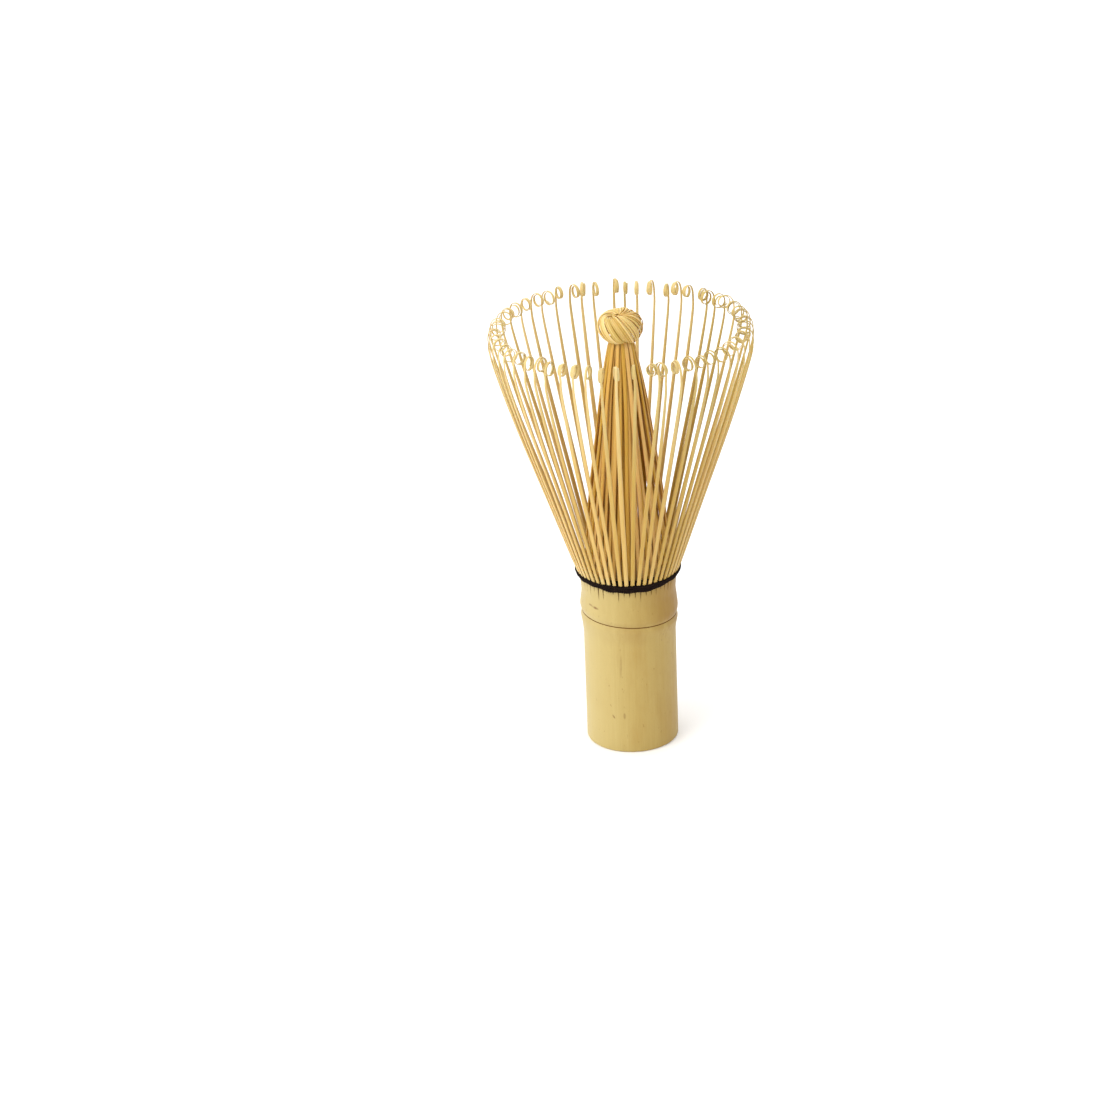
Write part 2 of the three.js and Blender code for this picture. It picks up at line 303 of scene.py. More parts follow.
class Draft:
    """Vertices and faces gathered before they become a mesh.

    Each vertex also keeps its grain, its place in mm in the bamboo before it was bent (a strip's
    second coordinate is instead the share of its thickness, 0.5 on its outer face). Three numbers
    from 0 to 1 follow: a shade that sets one strip apart from the next, and that also carries painted
    light on the outer tines (lighter on the lit left side) and painted shade in the culm's splits; a
    paleness that grows where a strip is shaved thin, and in an outer tine's foot on the lit side as
    painted light; and a rim that is 1 on a strip's split sides.
    """

    def __init__(self):
        self.vertices = []
        self.faces = []
        self.grain = []
        self.shade = []
        self.paleness = []
        self.rim = []
        self.slots = []

    def ring(self, points, grain, shades, paleness=0.0, rims=None):
        """Add a loop of vertices and return their numbers."""
        first = len(self.vertices)
        self.vertices.extend(points)
        self.grain.extend(grain)
        self.shade.extend(shades)
        self.paleness.extend([paleness] * len(points))
        self.rim.extend(rims or [0.0] * len(points))
        return list(range(first, first + len(points)))

    def bridge(self, lower, upper, slot=0):
        """A band of faces between two rings, in the material of that slot."""
        count = len(lower)
        for i in range(count):
            j = (i + 1) % count
            self.faces.append((lower[i], lower[j], upper[j], upper[i]))
            self.slots.append(slot)

    def cap(self, ring):
        self.faces.append(tuple(ring))
        self.slots.append(0)

    def build(self, name, materials, nodes):
        """A smooth piece that replaces nodes and rides on the root, as the whole whisk does."""
        mesh = bpy.data.meshes.new(name)
        mesh.from_pydata(self.vertices, [], self.faces)
        grain = mesh.attributes.new("grain", "FLOAT_VECTOR", "POINT")
        grain.data.foreach_set("vector", [c for g in self.grain for c in g])
        for label in ("shade", "paleness", "rim"):
            attribute = mesh.attributes.new(label, "FLOAT", "POINT")
            attribute.data.foreach_set("value", getattr(self, label))
        mesh.polygons.foreach_set("material_index", self.slots)
        for material in materials:
            mesh.materials.append(material)
        mesh.shade_smooth()
        mesh.update()
        piece = bpy.data.objects.new(name, mesh)
        bpy.context.scene.collection.objects.link(piece)
        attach(piece, "root")
        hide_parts(*nodes)


Station = namedtuple("Station", "centre facing width thickness paleness")


def add_strip(draft, stations, section, strip_id, shade):
    """A strip of bamboo swept through stations, its outer face turned to their facings.

    Centres are in metres, widths and thicknesses in mm. The strip's number sets its grain apart.
    """
    along = 0.0
    rings = []
    last = len(stations) - 1
    rims = [rim for _, _, rim in section]
    for i, station in enumerate(stations):
        before = stations[max(i - 1, 0)].centre
        after = stations[min(i + 1, last)].centre
        along += (station.centre - before).length / MM
        tangent = (after - before).normalized()
        side = tangent.cross(station.facing).normalized()
        facing = side.cross(tangent)
        points = []
        grain = []
        for across, outwards, _ in section:
            across_mm = across * station.width
            offset = side * across_mm + facing * (outwards * station.thickness)
            points.append(station.centre + offset * MM)
            grain.append((across_mm + strip_id * 5.3, outwards, along + strip_id * 17.0))
        rings.append(draft.ring(points, grain, [shade] * len(points), station.paleness, rims))
    for lower, upper in zip(rings, rings[1:]):
        draft.bridge(lower, upper)
    draft.cap(rings[0][::-1])
    draft.cap(rings[-1])


# ======== materials


def new_material(name):
    """A material with nodes, with its tree and its shader."""
    material = bpy.data.materials.new(name)
    material.use_nodes = True
    tree = material.node_tree
    return material, tree, tree.nodes["Principled BSDF"]


def attribute_of(tree, name, output="Fac"):
    """One of the attributes that a Draft gives its vertices."""
    node = tree.nodes.new("ShaderNodeAttribute")
    node.attribute_name = name
    return node.outputs[output]


def axes_of(tree, vector):
    """The X, Y and Z outputs of a vector."""
    parts = tree.nodes.new("ShaderNodeSeparateXYZ")
    tree.links.new(vector, parts.inputs["Vector"])
    return parts.outputs["X"], parts.outputs["Y"], parts.outputs["Z"]


def noise_of(tree, vector, scale, detail=4.0, roughness=0.55):
    """Noise over vector after stretching it by scale, a per-axis frequency."""
    mapping = tree.nodes.new("ShaderNodeMapping")
    mapping.inputs["Scale"].default_value = scale
    tree.links.new(vector, mapping.inputs["Vector"])
    noise = tree.nodes.new("ShaderNodeTexNoise")
    noise.inputs["Scale"].default_value = 1.0
    noise.inputs["Detail"].default_value = detail
    noise.inputs["Roughness"].default_value = roughness
    tree.links.new(mapping.outputs["Vector"], noise.inputs["Vector"])
    return noise.outputs["Fac"]


def scene_colour(colour):
    """A scene colour from red, green and blue as a display shows them, from 0 to 255."""
    def channel(value):
        value /= 255
        return value / 12.92 if value <= 0.04045 else ((value + 0.055) / 1.055) ** 2.4
    return (*(channel(value) for value in colour), 1)


def ramp_of(tree, factor, stops):
    """Colours along a factor, from stops of (position, display colour)."""
    ramp = tree.nodes.new("ShaderNodeValToRGB")
    elements = ramp.color_ramp.elements
    elements[0].position = stops[0][0]
    elements[1].position = stops[-1][0]
    for position, _ in stops[1:-1]:
        elements.new(position)
    for element, (_, colour) in zip(elements, stops):
        element.color = scene_colour(colour)
    tree.links.new(factor, ramp.inputs["Fac"])
    return ramp.outputs["Color"]


def blend_colours(tree, factor, first, second):
    """From the first colour at a factor of 0 to the second at 1. Each is an output or a display colour."""
    node = tree.nodes.new("ShaderNodeMix")
    node.data_type = "RGBA"
    tree.links.new(factor, node.inputs["Factor"])
    for value, socket in ((first, node.inputs["A"]), (second, node.inputs["B"])):
        if isinstance(value, tuple):
            socket.default_value = scene_colour(value)
        else:
            tree.links.new(value, socket)
    return node.outputs["Result"]


def maths(tree, operation, *values):
    """One operation on outputs and plain numbers."""
    node = tree.nodes.new("ShaderNodeMath")
    node.operation = operation
    for i, value in enumerate(values):
        if isinstance(value, (int, float)):
            node.inputs[i].default_value = value
        else:
            tree.links.new(value, node.inputs[i])
    return node.outputs[0]


def map_range(tree, value, start, end, to_start=0.0, to_end=1.0):
    """Start to end becomes to_start to to_end, and the value is held at both."""
    node = tree.nodes.new("ShaderNodeMapRange")
    node.inputs["From Min"].default_value = start
    node.inputs["From Max"].default_value = end
    node.inputs["To Min"].default_value = to_start
    node.inputs["To Max"].default_value = to_end
    tree.links.new(value, node.inputs["Value"])
    return node.outputs["Result"]


def add_bump(tree, shader, height, strength, distance):
    """Relief from a height output. The distance is in mm."""
    bump = tree.nodes.new("ShaderNodeBump")
    bump.inputs["Strength"].default_value = strength
    bump.inputs["Distance"].default_value = distance * MM
    tree.links.new(height, bump.inputs["Height"])
    tree.links.new(bump.outputs["Normal"], shader.inputs["Normal"])


def bamboo_material(
    name, pale, mid, deep, tip, roughness, fibre_scale, relief, gloss=0.4, flesh=None, tip_rim=0.3,
    softness=0.45,
):
    """Bamboo: long fibres of three tones, a slow mottle, and fine raised grain.

    A shade of 0 is the darkest strip, and paleness draws it towards the tip colour. With a flesh
    colour it is a thin strip: translucent, and of that colour on its split sides, of which a share
    of tip_rim is left at its palest. Softness is how far the mottle hides the fibres.
    """
    material, tree, shader = new_material(name)
    grain = attribute_of(tree, "grain", "Vector")
    shade = attribute_of(tree, "shade")
    paleness = attribute_of(tree, "paleness")
    across = fibre_scale
    fibres = noise_of(tree, grain, (across, across, across * 0.025), detail=6.0, roughness=0.65)
    streaks = noise_of(tree, grain, (across * 0.28, across * 0.28, across * 0.012), detail=3.0)
    mottle = noise_of(tree, grain, (0.22, 0.22, 0.1), detail=3.0)
    tone = maths(tree, "ADD", maths(tree, "MULTIPLY", fibres, 0.55), maths(tree, "MULTIPLY", streaks, 0.45))
    colour = ramp_of(tree, tone, [(0.3, deep), (0.48, mid), (0.68, pale)])
    mottled = blend_colours(tree, map_range(tree, mottle, 0.35, 0.65, 0.3 * softness, softness), colour, mid)
    tipped = blend_colours(tree, maths(tree, "MULTIPLY", paleness, 0.85), mottled, tip)
    if flesh:
        flesh_left = map_range(tree, paleness, 0.0, 1.0, 0.85, tip_rim)
        cut_share = maths(tree, "MULTIPLY", attribute_of(tree, "rim"), flesh_left)
        tipped = blend_colours(tree, cut_share, tipped, flesh)
        shader.inputs["Subsurface Weight"].default_value = 0.2
        shader.inputs["Subsurface Radius"].default_value = (1.0, 0.55, 0.2)
        shader.inputs["Subsurface Scale"].default_value = 0.5 * MM
    value = tree.nodes.new("ShaderNodeHueSaturation")
    tree.links.new(tipped, value.inputs["Color"])
    tree.links.new(map_range(tree, shade, 0, 1, 0.76, 1.14), value.inputs["Value"])
    tree.links.new(map_range(tree, shade, 0, 1, 1.15, 0.95), value.inputs["Saturation"])
    tree.links.new(value.outputs["Color"], shader.inputs["Base Color"])
    rough = map_range(tree, fibres, 0.3, 0.7, roughness - 0.08, roughness + 0.12)
    tree.links.new(rough, shader.inputs["Roughness"])
    shader.inputs["Specular IOR Level"].default_value = gloss
    add_bump(tree, shader, fibres, relief, 0.06)
    return material


def blemish_of(tree, grain, x, z, length, width, tilt):
    """A soft-edged streak on the front of the culm, centred on (x, z) mm and tilted from upright."""
    grain_x, grain_y, grain_z = axes_of(tree, grain)
    dx = maths(tree, "SUBTRACT", grain_x, x)
    dz = maths(tree, "SUBTRACT", grain_z, z)
    lean, rise = math.sin(math.radians(tilt)), math.cos(math.radians(tilt))
    along = maths(tree, "ADD", maths(tree, "MULTIPLY", dx, lean), maths(tree, "MULTIPLY", dz, rise))
    beside = maths(tree, "SUBTRACT", maths(tree, "MULTIPLY", dx, rise), maths(tree, "MULTIPLY", dz, lean))
    far_along = maths(tree, "POWER", maths(tree, "DIVIDE", along, length / 2), 2.0)
    far_beside = maths(tree, "POWER", maths(tree, "DIVIDE", beside, width / 2), 2.0)
    inside = map_range(tree, maths(tree, "ADD", far_along, far_beside), 0.2, 1.2, 1.0, 0.0)
    on_front = map_range(tree, grain_y, -1.0, 1.0, 1.0, 0.0)
    return maths(tree, "MULTIPLY", inside, on_front)


def skin_material():
    """The culm's waxed skin: fine fibres, stains, specks, a few blemishes, and painted shade inside the
    splits.
    """
    material = bamboo_material(
        "bamboo_skin", (195, 174, 113), (186, 162, 100), (167, 140, 78), (195, 174, 113),
        roughness=0.42, fibre_scale=4.0, relief=0.3, gloss=0.3, softness=0.85,
    )
    tree = material.node_tree
    shader = tree.nodes["Principled BSDF"]
    colour = shader.inputs["Base Color"].links[0].from_socket
    grain = attribute_of(tree, "grain", "Vector")
    x, _, height = axes_of(tree, grain)

    # Long soft stains. On the flare they crowd and darken towards the groove, partly real staining and
    # partly painted shade of the groove, and they thin out above it.
    stains = noise_of(tree, grain, (0.16, 0.16, 0.06), detail=4.0, roughness=0.6)
    flare_stain_and_shade = map_range(tree, height, FLARE_START, GROOVE_HEIGHT, 0.0, 0.8)
    flare_stain_and_shade = maths(tree, "MULTIPLY", flare_stain_and_shade, map_range(tree, stains, 0.35, 0.6))
    thinned = map_range(tree, height, GROOVE_HEIGHT + 0.1, GROOVE_HEIGHT + 1.6, 1.0, 0.35)
    layers = [
        (map_range(tree, stains, 0.5, 0.78, 0.0, 0.6), (166, 132, 62)),
        (maths(tree, "MULTIPLY", flare_stain_and_shade, thinned), (160, 128, 66)),
    ]

    # A fine bloom, a painted highlight that makes the lit left side of the skin paler, and dark specks.
    bloom = noise_of(tree, grain, (2.6, 2.6, 1.7), detail=5.0, roughness=0.7)
    specks = noise_of(tree, grain, (1.9, 1.9, 0.9), detail=2.0, roughness=0.4)
    layers += [
        (map_range(tree, bloom, 0.4, 0.7, 0.0, 0.35), (172, 150, 88)),
        (map_range(tree, x, -10, 1, 0.6, 0.0), (194, 177, 122)),
        (map_range(tree, specks, 0.7, 0.78, 0.0, 0.5), (128, 92, 42)),
    ]

    # Painted shade: the right side, away from the light, is painted darker and more saturated, most of all
    # on the collar. Near the node the right side is also blotched with stains.
    on_collar = map_range(tree, height, GROOVE_HEIGHT - 1, GROOVE_HEIGHT + 1)
    painted_collar_shade = maths(tree, "MULTIPLY", on_collar, map_range(tree, x, -1, 10.5))
    near_node = map_range(tree, height, FLARE_START - 1, LIP_HEIGHT, 0.2, 0.9)
    side_share = maths(tree, "MULTIPLY", map_range(tree, x, 5.5, 10.5), near_node)
    blotches = noise_of(tree, grain, (0.7, 0.7, 0.35), detail=4.0, roughness=0.65)
    blotched = map_range(tree, blotches, 0.45, 0.62, 0.0, 0.7)
    layers += [
        (maths(tree, "MAXIMUM", map_range(tree, x, -4, 10, 0.0, 0.3), painted_collar_shade), (150, 113, 38)),
        (maths(tree, "MULTIPLY", side_share, blotched), (146, 108, 44)),
    ]

    for *streak, strength in BLEMISHES:
        speckled = map_range(tree, specks, 0.35, 0.6, 0.3, strength)
        layers.append((maths(tree, "MULTIPLY", blemish_of(tree, grain, *streak), speckled), (112, 70, 34)))
    # Painted shade: the skin is painted dark brown where the splits cut deepest.
    layers.append((map_range(tree, attribute_of(tree, "shade"), 0.05, 0.45, 0.85, 0.0), (110, 74, 34)))
    for share, layer_colour in layers:
        colour = blend_colours(tree, share, colour, layer_colour)
    tree.links.new(colour, shader.inputs["Base Color"])
    return material


def groove_material():
    """The brown scar that runs round the bottom of the node's groove."""
    return bamboo_material(
        "bamboo_groove", (128, 92, 44), (104, 70, 32), (76, 48, 22), (128, 92, 44),
        roughness=0.75, fibre_scale=3.0, relief=0.5, gloss=0.2,
    )


def end_grain_material():
    """A cut across the fibres: dark vessel dots in pale pith, crowding towards the skin."""
    material, tree, shader = new_material("bamboo_end_grain")
    grain = attribute_of(tree, "grain", "Vector")
    mapping = tree.nodes.new("ShaderNodeMapping")
    mapping.inputs["Scale"].default_value = (2.1, 2.1, 0.02)
    tree.links.new(grain, mapping.inputs["Vector"])
    cells = tree.nodes.new("ShaderNodeTexVoronoi")
    cells.inputs["Scale"].default_value = 1.0
    tree.links.new(mapping.outputs["Vector"], cells.inputs["Vector"])
    dots = map_range(tree, cells.outputs["Distance"], 0.18, 0.36, 1.0, 0.0)
    mottle = noise_of(tree, grain, (1.4, 1.4, 1.4), detail=5.0)
    pith = ramp_of(tree, mottle, [(0.3, (206, 176, 118)), (0.7, (233, 211, 160))])
    colour = blend_colours(tree, maths(tree, "MULTIPLY", dots, 0.75), pith, (150, 106, 55))
    tree.links.new(colour, shader.inputs["Base Color"])
    tree.links.new(map_range(tree, mottle, 0.3, 0.7, 0.72, 0.9), shader.inputs["Roughness"])
    shader.inputs["Specular IOR Level"].default_value = 0.2
    add_bump(tree, shader, cells.outputs["Distance"], 0.5, 0.08)
    return material


def thread_material():
    """Matte cotton, nearly black, with worn brown fibres along each ply."""
    material, tree, shader = new_material("thread_cotton")
    grain = attribute_of(tree, "grain", "Vector")
    fibres = noise_of(tree, grain, (16.0, 16.0, 2.2), detail=5.0, roughness=0.7)
    wear = noise_of(tree, grain, (1.2, 1.2, 0.5), detail=3.0)
    dark = ramp_of(tree, fibres, [(0.35, (16, 10, 8)), (0.6, (32, 21, 17)), (0.8, (62, 42, 30))])
    colour = blend_colours(tree, map_range(tree, wear, 0.55, 0.75, 0.0, 0.35), dark, (72, 50, 34))
    tree.links.new(colour, shader.inputs["Base Color"])
    tree.links.new(map_range(tree, fibres, 0.3, 0.7, 0.8, 0.95), shader.inputs["Roughness"])
    shader.inputs["Specular IOR Level"].default_value = 0.08
    add_bump(tree, shader, fibres, 0.7, 0.03)
    return material


# ======== camera, light and floor


def make_camera():
    """The photograph's camera, which looks down at the whisk and is rolled a little."""
    pitch, yaw, roll = CAMERA_PITCH, CAMERA_YAW, CAMERA_ROLL
    forward = Vector((math.sin(yaw) * math.cos(pitch), math.cos(yaw) * math.cos(pitch), -math.sin(pitch)))
    level_right = Vector((math.cos(yaw), -math.sin(yaw), 0))
    level_up = level_right.cross(forward)
    up = level_up * math.cos(roll) + level_right * math.sin(roll)
    right = level_right * math.cos(roll) - level_up * math.sin(roll)
    data = bpy.data.cameras.new("camera")
    data.sensor_width = SENSOR_WIDTH
    data.lens = SENSOR_WIDTH * FOCAL_LENGTH_IN_FRAME_WIDTHS
    data.clip_start = 0.01
    data.clip_end = 20
    camera = bpy.data.objects.new("camera", data)
    rotation = Matrix((right, up, -forward)).transposed().to_4x4()
    position = Vector((0, -CAMERA_DISTANCE, CAMERA_HEIGHT)) * MM
    camera.matrix_world = Matrix.Translation(position) @ rotation
    bpy.context.scene.collection.objects.link(camera)
    bpy.context.scene.camera = camera


def area_light(name, position, size, power, colour=(1, 1, 1)):
    """A soft square light at a place in metres that looks at the middle of the whisk."""
    data = bpy.data.lights.new(name, "AREA")
    data.shape = "SQUARE"
    data.size = size
    data.energy = power
    data.color = colour
    light = bpy.data.objects.new(name, data)
    light.location = position
    light.rotation_euler = (LIGHTS_AIM - light.location).to_track_quat("-Z", "Y").to_euler()
    bpy.context.scene.collection.objects.link(light)


def studio_world():
    """A white room with an even ceiling and walls that are brighter on the left than on the right."""
    world = bpy.data.worlds.new("studio")
    world.use_nodes = True
    tree = world.node_tree
    background = tree.nodes["Background"]
    direction = tree.nodes.new("ShaderNodeTexCoord")
    x, _, z = axes_of(tree, direction.outputs["Generated"])
    background.inputs["Color"].default_value = (1, 1, 1, 1)
    walls = map_range(tree, x, -0.9, 0.9, WORLD_LEFT, WORLD_RIGHT)
    ceiling_share = map_range(tree, z, 0.35, 0.8)
    strength = tree.nodes.new("ShaderNodeMix")
    tree.links.new(ceiling_share, strength.inputs["Factor"])
    tree.links.new(walls, strength.inputs["A"])
    strength.inputs["B"].default_value = WORLD_CEILING
    tree.links.new(strength.outputs["Result"], background.inputs["Strength"])
    return world


def make_stage():
    """The white room, its two lamps and a pale floor."""
    scene = bpy.context.scene
    scene.view_settings.view_transform = "Standard"
    scene.world = studio_world()
    area_light("key", (-0.6, -0.45, 0.7), 0.6, KEY_POWER, (1.0, 0.985, 0.95))
    area_light("back", (0.1, 0.8, 0.7), 0.7, BACK_POWER)

    floor_material, _, shader = new_material("floor")
    shader.inputs["Base Color"].default_value = (0.95, 0.95, 0.95, 1)
    shader.inputs["Roughness"].default_value = 0.9
    reach = FLOOR_REACH * MM
    corners = [(-reach, -reach, 0), (reach, -reach, 0), (reach, reach, 0), (-reach, reach, 0)]
    mesh = bpy.data.meshes.new("floor")
    mesh.from_pydata(corners, [], [(0, 1, 2, 3)])
    mesh.materials.append(floor_material)
    floor = bpy.data.objects.new("floor", mesh)
    scene.collection.objects.link(floor)


# ======== the culm


def culm_outline(radius, angle, height):
    """A culm is never quite round: a slow oval and faint flutes, in mm."""
    oval = 1 + 0.0035 * math.cos(2 * angle + 0.6) + 0.0015 * math.cos(3 * angle + 2.0)
    flute = 0.012 * math.sin(23 * angle + 0.02 * height) * math.sin(7 * angle + 1.0)
    return radius * oval + flute


def tilted_height(height, x):
    """The node is not square to the culm: its groove climbs towards -X, as in the CAD."""
    below = smooth(height, FLARE_START, GROOVE_HEIGHT)
    above = 1 - smooth(height, GROOVE_HEIGHT, COLLAR_TOP)
    return height - NODE_TILT * x * min(below, above)


def lathe_ring(draft, radius, height, angles, round_inside=False, dents=None):
    """One ring of the culm. Dents are depths in mm; the deeper ones are shaded dark."""
    points = []
    grain = []
    shades = []
    for i, angle in enumerate(angles):
        dent = dents[i] if dents else 0.0
        outline = radius if round_inside else culm_outline(radius, angle, height) - dent
        x = outline * math.cos(angle)
        points.append(polar(outline, angle, tilted_height(height, x)))
        grain.append((x, outline * math.sin(angle), height))
        shades.append(0.5 * (1 - min(1.0, 3 * dent / SPLIT_DEPTH)))
    return draft.ring(points, grain, shades)


def arc_profile(centre_radius, centre_height, radius, start, end, steps):
    """Points round an arc in the (radius, height) plane, angles in degrees."""
    points = []
    for i in range(steps + 1):
        angle = math.radians(mix(start, end, i / steps))
        points.append((centre_radius + radius * math.cos(angle), centre_height + radius * math.sin(angle)))
    return points


# Places in the culm's list of materials.
SKIN, END_GRAIN, GROOVE = 0, 1, 2


def build_culm_part(name, profile, angles, materials, node, dents_at=None):
    """A closed turned part. Each profile point is (radius, height, round inside, material)."""
    draft = Draft()
    rings = []
    for radius, height, is_round, _ in profile:
        dents = dents_at(height) if dents_at and not is_round else None
        rings.append(lathe_ring(draft, radius, height, angles, is_round, dents))
    for i, lower in enumerate(rings):
        following = (i + 1) % len(rings)
        draft.bridge(lower, rings[following], profile[following][3])
    draft.build(name, materials, [node])


def build_handle(materials):
    """The handle: skin outside, end grain on the cut, and the bore up to the node."""
    steps = 216
    angles = [2 * math.pi * i / steps for i in range(steps)]
    corner = CULM_RADIUS - END_ROUNDING
    inner_corner = BORE_RADIUS + BORE_ROUNDING
    profile = [(BORE_RADIUS, GROOVE_HEIGHT, True, GROOVE)]
    profile += [(BORE_RADIUS, h, True, END_GRAIN) for h in (24.0, 16.0, 8.0, 1.5)]
    inner_rounding = arc_profile(inner_corner, BORE_ROUNDING, BORE_ROUNDING, 180, 270, 3)
    profile += [(r, h, True, END_GRAIN) for r, h in inner_rounding]
    profile += [((inner_corner + corner) / 2, 0.0, False, END_GRAIN)]
    rounding = arc_profile(corner, END_ROUNDING, END_ROUNDING, 270, 360, 5)
    profile += [(r, h, False, END_GRAIN if i < 2 else SKIN) for i, (r, h) in enumerate(rounding)]
    profile += [(CULM_RADIUS, h, False, SKIN) for h in (4.0, 9.0, 14.0, 19.0, 24.0)]
    flare = [
        (CULM_RADIUS, FLARE_START),
        (mix(CULM_RADIUS, LIP_RADIUS, 0.4), (FLARE_START + LIP_HEIGHT) / 2),
        (LIP_RADIUS, LIP_HEIGHT),
        (LIP_RADIUS - 0.06, LIP_HEIGHT + 0.65),
        (LIP_RADIUS - 0.14, GROOVE_HEIGHT - 0.3),
    ]
    profile += [(*spline(flare, i / 14), False, SKIN) for i in range(15)]
    profile += [(GROOVE_RADIUS + 0.06, GROOVE_HEIGHT - 0.12, False, SKIN)]
    profile += [(GROOVE_RADIUS, GROOVE_HEIGHT, False, GROOVE)]
    build_culm_part("culm_handle", profile, angles, materials, "handle_culm")


def split_columns():
    """(angle, mm from the middle of the nearest split, split number) of the collar's columns."""
    offsets = [0.04, 0.08, 0.12, 0.17, 0.3]
    offsets = [-offset for offset in reversed(offsets)] + [0.0] + offsets
    columns = []
    for split in range(TINES):
        middle = FIRST_TINE_ANGLE + (split + 0.5) * TINE_PITCH
        for offset in offsets:
            columns.append((middle + offset / SPLIT_TOP_RADIUS, abs(offset), split))
    return columns


def build_collar(materials, rng):
    """The node's swelling and the wall above it, cut by the ends of the splits."""
    columns = split_columns()
    lengths = [mix(1.1, 3.8, rng.random() ** 1.2) for _ in range(TINES)]
    half_widths = [SPLIT_HALF_WIDTH * rng.uniform(0.6, 1.1) for _ in range(TINES)]

    def dents_at(height):
        """How deep each column is cut at a height: a split narrows and ends below the thread."""
        dents = []
        for _, offset, split in columns:
            open_share = max(0.0, 1 - (SPLIT_TOP - height) / lengths[split])
            half_width = half_widths[split] * min(1.0, 0.15 + open_share)
            dents.append(SPLIT_DEPTH * min(1.0, 2.5 * open_share) * max(0.0, 1 - offset / half_width))
        return dents

    profile = [(GROOVE_RADIUS, GROOVE_HEIGHT, False, GROOVE)]
    profile += [(GROOVE_RADIUS + 0.06, GROOVE_HEIGHT + 0.1, False, GROOVE)]
    swell = [
        (GROOVE_RADIUS + 0.2, GROOVE_HEIGHT + 0.4),
        (BULGE_RADIUS, BULGE_HEIGHT),
        (BULGE_RADIUS - 0.12, BULGE_HEIGHT + 1.4),
        (WAIST_RADIUS, WAIST_HEIGHT),
        (WAIST_RADIUS + 0.03, COLLAR_TOP + 0.2),
    ]
    profile += [(*spline(swell, i / 22), False, SKIN) for i in range(23)]
    wall = [swell[-1], (SPLIT_TOP_RADIUS, SPLIT_TOP)]
    profile += [(*spline(wall, i / 34), False, SKIN) for i in range(1, 35)]
    inside = [
        (RIM_RADIUS + 0.15, SPLIT_TOP),
        (RIM_RADIUS, RIM_TOP),
        (BORE_RADIUS, RIM_TOP),
        (BORE_RADIUS, SEPTUM_TOP),
        (BORE_RADIUS, GROOVE_HEIGHT),
    ]
    profile += [(radius, height, True, END_GRAIN) for radius, height in inside]
    angles = [angle for angle, _, _ in columns]
    build_culm_part("culm_node", profile, angles, materials, "node_collar", dents_at)


def build_septum(material):
    """The dished diaphragm inside the node, papery and slightly wrinkled."""
    draft = Draft()
    steps = 120
    angles = [2 * math.pi * i / steps for i in range(steps)]
    thickness = SEPTUM_TOP - SEPTUM_BOTTOM - SEPTUM_DISH

    def surface(share, angle, is_top):
        """The height of one face at a share of the radius."""
        wrinkle = 0.05 * math.sin(9 * angle + 14 * share) * share * (1 - share ** 4)
        height = SEPTUM_TOP - SEPTUM_DISH * (1 - share ** 2) + wrinkle
        return height if is_top else height - thickness

    rings = []
    shares = [0.03, 0.2, 0.4, 0.6, 0.75, 0.88, 0.96, 0.998]
    for is_top in (False, True):
        for share in reversed(shares) if is_top else shares:
            radius = share * SEPTUM_RADIUS
            heights = [surface(share, angle, is_top) for angle in angles]
            points = [polar(radius, angle, height) for angle, height in zip(angles, heights)]
            grain = [(radius * math.cos(a), radius * math.sin(a), h) for a, h in zip(angles, heights)]
            rings.append(draft.ring(points, grain, [0.4] * steps))
    for lower, upper in zip(rings, rings[1:]):
        draft.bridge(lower, upper)
    draft.cap(rings[0][::-1])
    draft.cap(rings[-1])
    draft.build("culm_septum", [material], ["node_septum"])


# ======== the tines


def tine_lean(index):
    """How far a tine's tip leans round the crown from its even place, as in the CAD."""
    twist = 1 + 1.4 * math.sin(0.2 * index - 1.25) + 0.9 * math.sin(0.3 * index + 0.8)
    unevenness = 0.6 * math.sin(1.8 * index - 1.2)
    return math.radians(twist + unevenness + STRAYED_TINES.get(index, 0.0))


def slope_of(path, t):
    """The unit direction (radial, upward) of a (radius, height) path at t."""
    before = spline(path, max(0.0, t - 0.01))
    after = spline(path, min(1.0, t + 0.01))
    direction = Vector((after[0] - before[0], after[1] - before[1]))
    return direction.normalized()


def outward_facing(slope, angle):
    """The direction that the outer face of a strip looks in, from its slope and its angle."""
    return Vector((slope.y * math.cos(angle), slope.y * math.sin(angle), -slope.x))


def curl_yaw(index, rng):
    """How far a curl is turned from the radial plane, in radians. Most are only a little turned."""
    yaw = rng.gauss(0, 5.5)
    if rng.random() < 0.05:
        yaw += rng.choice((-1, 1)) * rng.uniform(10, 22)
    return math.radians(STRAYED_YAWS.get(index, yaw))


def curl_stations(place, heading, tip_angle, size, length, yaw, sidestep, width_scale):
    """The curl that a tine's thin tip was rolled into: from place, in towards the axis and tightening."""
    steps = 46
    inwards = -Vector((math.cos(tip_angle), math.sin(tip_angle), 0))
    sideways = Vector((-inwards.y, inwards.x, 0))
    stride = length / steps
    stations = []
    for step in range(1, steps + 1):
        share = step / steps
        radius = size * mix(CURL_RADIUS, CURL_END_RADIUS, share)
        heading += stride / radius * min(1.0, share / CURL_EASE)
        direction = Matrix.Rotation(yaw * smooth(share, 0, 0.3), 3, "Z") @ inwards
        forward = direction * math.sin(heading) + Vector((0, 0, math.cos(heading)))
        place = place + (forward * stride + sideways * (sidestep / steps)) * MM
        stations.append(Station(
            centre=place,
            facing=(Vector((0, 0, math.sin(heading))) - direction * math.cos(heading)).normalized(),
            width=spline(CURL_WIDTHS, share) * width_scale,
            thickness=mix(OUTER_THICKNESSES[-1], CURL_END_THICKNESS, share),
            paleness=mix(SHAFT_PALENESS, 1.0, share),
        ))
    return stations


